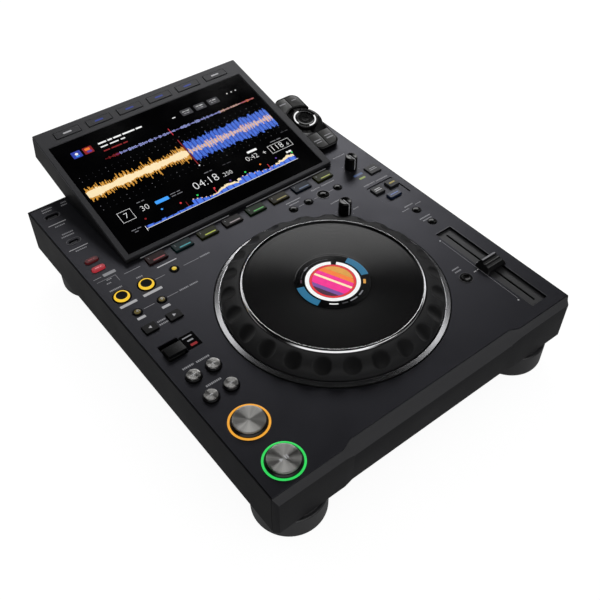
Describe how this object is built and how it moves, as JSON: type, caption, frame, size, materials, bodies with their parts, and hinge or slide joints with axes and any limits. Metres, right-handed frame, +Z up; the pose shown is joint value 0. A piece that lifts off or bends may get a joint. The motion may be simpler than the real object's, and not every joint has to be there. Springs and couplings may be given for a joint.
{
  "type": "tabletop media player deck with jog wheel",
  "caption": "Flat deck on round feet with a large jog wheel, a tilted touch display, lit keys, knobs and a long slider.",
  "frame": {"origin": "centre of the whole part's box, at the floor", "axes": "+X to the user's right, +Y to the back where the display is, +Z up"},
  "size_m": [0.33, 0.4656, 0.118],
  "materials": {
    "deck_metal": "satin powder coat, fine grain",
    "case_metal": "satin powder coat, darker than the deck",
    "foot_rubber": "matte moulded rubber",
    "bezel_plastic": "satin moulded plastic",
    "housing_plastic": "fine-textured moulded plastic",
    "screen_glass": "gloss black glass over a lit panel",
    "silver_trim": "turned and polished",
    "rim_silver": "satin anodised",
    "spun_metal": "spun in circles, radial highlights",
    "black_plastic": "satin moulded plastic",
    "grip_plastic": "matte moulded grip",
    "platter_face": "fine turned grooves",
    "pod_plastic": "satin moulded plastic",
    "pod_key_plastic": "satin moulded keys",
    "stem_steel": "plain turned steel",
    "board_laminate": "green board laminate",
    "supply_steel": "folded sheet",
    "key_red": "translucent key lit from below",
    "key_teal": "translucent key lit from below",
    "key_lime": "translucent key lit from below",
    "key_pink": "translucent key lit from below",
    "key_green": "translucent key lit from below",
    "key_amber": "translucent key lit from below",
    "key_blue": "translucent key lit from below",
    "key_yellow": "translucent key lit from below",
    "key_bright_red": "translucent key lit from below",
    "key_dull_red": "translucent key, unlit"
  },
  "bodies": {
    "case": {"base_chassis": "case_metal", "front_cover": "case_metal", "rear_panel": "case_metal", "top_plate": "deck_metal", "foot_front_left": "foot_rubber", "foot_front_right": "foot_rubber", "foot_back_left": "foot_rubber", "foot_back_right": "foot_rubber", "display_housing": "housing_plastic", "display_bezel": "bezel_plastic", "touch_glass": "screen_glass", "selector_pod": "pod_plastic", "jog_base_ring": "rim_silver", "jog_post": "stem_steel", "jog_display": "screen_glass", "main_board": "board_laminate", "power_supply": "supply_steel"},
    "hot_cue_key_1": {"hot_cue_key_1": "key_red"},
    "hot_cue_key_2": {"hot_cue_key_2": "key_teal"},
    "hot_cue_key_3": {"hot_cue_key_3": "key_lime"},
    "hot_cue_key_4": {"hot_cue_key_4": "key_pink"},
    "hot_cue_key_5": {"hot_cue_key_5": "key_green"},
    "hot_cue_key_6": {"hot_cue_key_6": "key_amber"},
    "hot_cue_key_7": {"hot_cue_key_7": "key_blue"},
    "hot_cue_key_8": {"hot_cue_key_8": "key_yellow"},
    "beat_jump_back_key": {"beat_jump_back_key": "black_plastic"},
    "beat_jump_forward_key": {"beat_jump_forward_key": "black_plastic"},
    "jog_mode_key": {"jog_mode_key": "black_plastic"},
    "key_sync_key": {"key_sync_key": "black_plastic"},
    "beat_sync_key": {"beat_sync_key": "black_plastic"},
    "master_key": {"master_key": "black_plastic"},
    "slip_key": {"slip_key": "key_dull_red"},
    "quantize_key": {"quantize_key": "key_bright_red"},
    "loop_in_button": {"loop_in_button": "black_plastic"},
    "loop_out_button": {"loop_out_button": "black_plastic"},
    "beat_loop_four_button": {"beat_loop_four_button": "black_plastic"},
    "beat_loop_eight_button": {"beat_loop_eight_button": "black_plastic"},
    "reloop_button": {"reloop_button": "black_plastic"},
    "master_tempo_button": {"master_tempo_button": "black_plastic"},
    "tempo_range_button": {"tempo_range_button": "black_plastic"},
    "tempo_reset_button": {"tempo_reset_button": "black_plastic"},
    "memory_key_mat": {"memory_key_mat": "black_plastic"},
    "track_back_button": {"track_back_button": "spun_metal"},
    "track_forward_button": {"track_forward_button": "spun_metal"},
    "search_back_button": {"search_back_button": "spun_metal"},
    "search_forward_button": {"search_forward_button": "spun_metal"},
    "cue_button": {"cue_button": "spun_metal"},
    "play_button": {"play_button": "spun_metal"},
    "display_key_mat": {"display_key_mat": "bezel_plastic"},
    "pod_key_mat": {"pod_key_mat": "pod_key_plastic"},
    "power_button": {"power_button": "black_plastic"},
    "jog_wheel": {"jog_grip_ring": "grip_plastic", "jog_platter": "platter_face", "jog_trim_ring": "silver_trim"},
    "selector_stem": {"selector_stem": "stem_steel"},
    "selector_knob": {"selector_knob": "black_plastic"},
    "vinyl_speed_knob": {"vinyl_speed_knob": "black_plastic"},
    "jog_adjust_knob": {"jog_adjust_knob": "black_plastic"},
    "tempo_fader": {"tempo_fader_cap": "black_plastic"},
    "direction_lever": {"direction_lever": "black_plastic"}
  },
  "joints": [
    {"name": "hot_cue_key_1_press", "type": "slide", "parent": "case", "child": "hot_cue_key_1", "axis": [0, 0, 1], "range_m": [-0.001, 0], "stiffness_N_per_m": 400},
    {"name": "hot_cue_key_2_press", "type": "slide", "parent": "case", "child": "hot_cue_key_2", "axis": [0, 0, 1], "range_m": [-0.001, 0], "stiffness_N_per_m": 400},
    {"name": "hot_cue_key_3_press", "type": "slide", "parent": "case", "child": "hot_cue_key_3", "axis": [0, 0, 1], "range_m": [-0.001, 0], "stiffness_N_per_m": 400},
    {"name": "hot_cue_key_4_press", "type": "slide", "parent": "case", "child": "hot_cue_key_4", "axis": [0, 0, 1], "range_m": [-0.001, 0], "stiffness_N_per_m": 400},
    {"name": "hot_cue_key_5_press", "type": "slide", "parent": "case", "child": "hot_cue_key_5", "axis": [0, 0, 1], "range_m": [-0.001, 0], "stiffness_N_per_m": 400},
    {"name": "hot_cue_key_6_press", "type": "slide", "parent": "case", "child": "hot_cue_key_6", "axis": [0, 0, 1], "range_m": [-0.001, 0], "stiffness_N_per_m": 400},
    {"name": "hot_cue_key_7_press", "type": "slide", "parent": "case", "child": "hot_cue_key_7", "axis": [0, 0, 1], "range_m": [-0.001, 0], "stiffness_N_per_m": 400},
    {"name": "hot_cue_key_8_press", "type": "slide", "parent": "case", "child": "hot_cue_key_8", "axis": [0, 0, 1], "range_m": [-0.001, 0], "stiffness_N_per_m": 400},
    {"name": "beat_jump_back_key_press", "type": "slide", "parent": "case", "child": "beat_jump_back_key", "axis": [0, 0, 1], "range_m": [-0.0008, 0], "stiffness_N_per_m": 400},
    {"name": "beat_jump_forward_key_press", "type": "slide", "parent": "case", "child": "beat_jump_forward_key", "axis": [0, 0, 1], "range_m": [-0.0008, 0], "stiffness_N_per_m": 400},
    {"name": "jog_mode_key_press", "type": "slide", "parent": "case", "child": "jog_mode_key", "axis": [0, 0, 1], "range_m": [-0.0008, 0], "stiffness_N_per_m": 400},
    {"name": "key_sync_key_press", "type": "slide", "parent": "case", "child": "key_sync_key", "axis": [0, 0, 1], "range_m": [-0.0008, 0], "stiffness_N_per_m": 400},
    {"name": "beat_sync_key_press", "type": "slide", "parent": "case", "child": "beat_sync_key", "axis": [0, 0, 1], "range_m": [-0.0008, 0], "stiffness_N_per_m": 400},
    {"name": "master_key_press", "type": "slide", "parent": "case", "child": "master_key", "axis": [0, 0, 1], "range_m": [-0.0008, 0], "stiffness_N_per_m": 400},
    {"name": "slip_key_press", "type": "slide", "parent": "case", "child": "slip_key", "axis": [0, 0, 1], "range_m": [-0.0008, 0], "stiffness_N_per_m": 400},
    {"name": "quantize_key_press", "type": "slide", "parent": "case", "child": "quantize_key", "axis": [0, 0, 1], "range_m": [-0.0008, 0], "stiffness_N_per_m": 400},
    {"name": "loop_in_button_press", "type": "slide", "parent": "case", "child": "loop_in_button", "axis": [0, 0, 1], "range_m": [-0.0008, 0], "stiffness_N_per_m": 400},
    {"name": "loop_out_button_press", "type": "slide", "parent": "case", "child": "loop_out_button", "axis": [0, 0, 1], "range_m": [-0.0008, 0], "stiffness_N_per_m": 400},
    {"name": "beat_loop_four_button_press", "type": "slide", "parent": "case", "child": "beat_loop_four_button", "axis": [0, 0, 1], "range_m": [-0.0008, 0], "stiffness_N_per_m": 400},
    {"name": "beat_loop_eight_button_press", "type": "slide", "parent": "case", "child": "beat_loop_eight_button", "axis": [0, 0, 1], "range_m": [-0.0008, 0], "stiffness_N_per_m": 400},
    {"name": "reloop_button_press", "type": "slide", "parent": "case", "child": "reloop_button", "axis": [0, 0, 1], "range_m": [-0.0008, 0], "stiffness_N_per_m": 400},
    {"name": "master_tempo_button_press", "type": "slide", "parent": "case", "child": "master_tempo_button", "axis": [0, 0, 1], "range_m": [-0.0008, 0], "stiffness_N_per_m": 400},
    {"name": "tempo_range_button_press", "type": "slide", "parent": "case", "child": "tempo_range_button", "axis": [0, 0, 1], "range_m": [-0.0008, 0], "stiffness_N_per_m": 400},
    {"name": "tempo_reset_button_press", "type": "slide", "parent": "case", "child": "tempo_reset_button", "axis": [0, 0, 1], "range_m": [-0.0008, 0], "stiffness_N_per_m": 400},
    {"name": "memory_key_mat_press", "type": "slide", "parent": "case", "child": "memory_key_mat", "axis": [0, 0, 1], "range_m": [-0.0008, 0], "stiffness_N_per_m": 400},
    {"name": "track_back_button_press", "type": "slide", "parent": "case", "child": "track_back_button", "axis": [0, 0, 1], "range_m": [-0.0012, 0], "stiffness_N_per_m": 400},
    {"name": "track_forward_button_press", "type": "slide", "parent": "case", "child": "track_forward_button", "axis": [0, 0, 1], "range_m": [-0.0012, 0], "stiffness_N_per_m": 400},
    {"name": "search_back_button_press", "type": "slide", "parent": "case", "child": "search_back_button", "axis": [0, 0, 1], "range_m": [-0.0012, 0], "stiffness_N_per_m": 400},
    {"name": "search_forward_button_press", "type": "slide", "parent": "case", "child": "search_forward_button", "axis": [0, 0, 1], "range_m": [-0.0012, 0], "stiffness_N_per_m": 400},
    {"name": "cue_button_press", "type": "slide", "parent": "case", "child": "cue_button", "axis": [0, 0, 1], "range_m": [-0.0015, 0], "stiffness_N_per_m": 800},
    {"name": "play_button_press", "type": "slide", "parent": "case", "child": "play_button", "axis": [0, 0, 1], "range_m": [-0.0015, 0], "stiffness_N_per_m": 800},
    {"name": "display_key_mat_press", "type": "slide", "parent": "case", "child": "display_key_mat", "axis": [0, -0.2168, 0.9762], "range_m": [-0.0006, 0], "stiffness_N_per_m": 800},
    {"name": "pod_key_mat_press", "type": "slide", "parent": "case", "child": "pod_key_mat", "axis": [0, -0.2168, 0.9762], "range_m": [-0.0006, 0], "stiffness_N_per_m": 600},
    {"name": "power_button_press", "type": "slide", "parent": "case", "child": "power_button", "axis": [0, 1, 0], "range_m": [-0.0025, 0], "stiffness_N_per_m": 600},
    {"name": "jog_spin", "type": "hinge", "parent": "case", "child": "jog_wheel", "pos_m": [0, -0.09506, 0.09], "axis": [0, 0, 1], "continuous": true},
    {"name": "selector_stem_press", "type": "slide", "parent": "case", "child": "selector_stem", "axis": [0, -0.2168, 0.9762], "range_m": [-0.0008, 0], "stiffness_N_per_m": 800},
    {"name": "selector_turn", "type": "hinge", "parent": "selector_stem", "child": "selector_knob", "pos_m": [0.1367, 0.1161, 0.09352], "axis": [0, -0.2168, 0.9762], "continuous": true},
    {"name": "vinyl_speed_knob_turn", "type": "hinge", "parent": "case", "child": "vinyl_speed_knob", "pos_m": [0.133, 0.03464, 0.082], "axis": [0, 0, 1], "range_deg": [-150, 150]},
    {"name": "jog_adjust_knob_turn", "type": "hinge", "parent": "case", "child": "jog_adjust_knob", "pos_m": [0.081, -0.01686, 0.082], "axis": [0, 0, 1], "range_deg": [-150, 150]},
    {"name": "tempo_slide", "type": "slide", "parent": "case", "child": "tempo_fader", "axis": [0, 1, 0], "range_m": [-0.05, 0.05]},
    {"name": "direction_tilt", "type": "hinge", "parent": "case", "child": "direction_lever", "pos_m": [-0.1458, -0.06336, 0.066], "axis": [1, 0, 0], "range_deg": [-9, 9]}
  ]
}
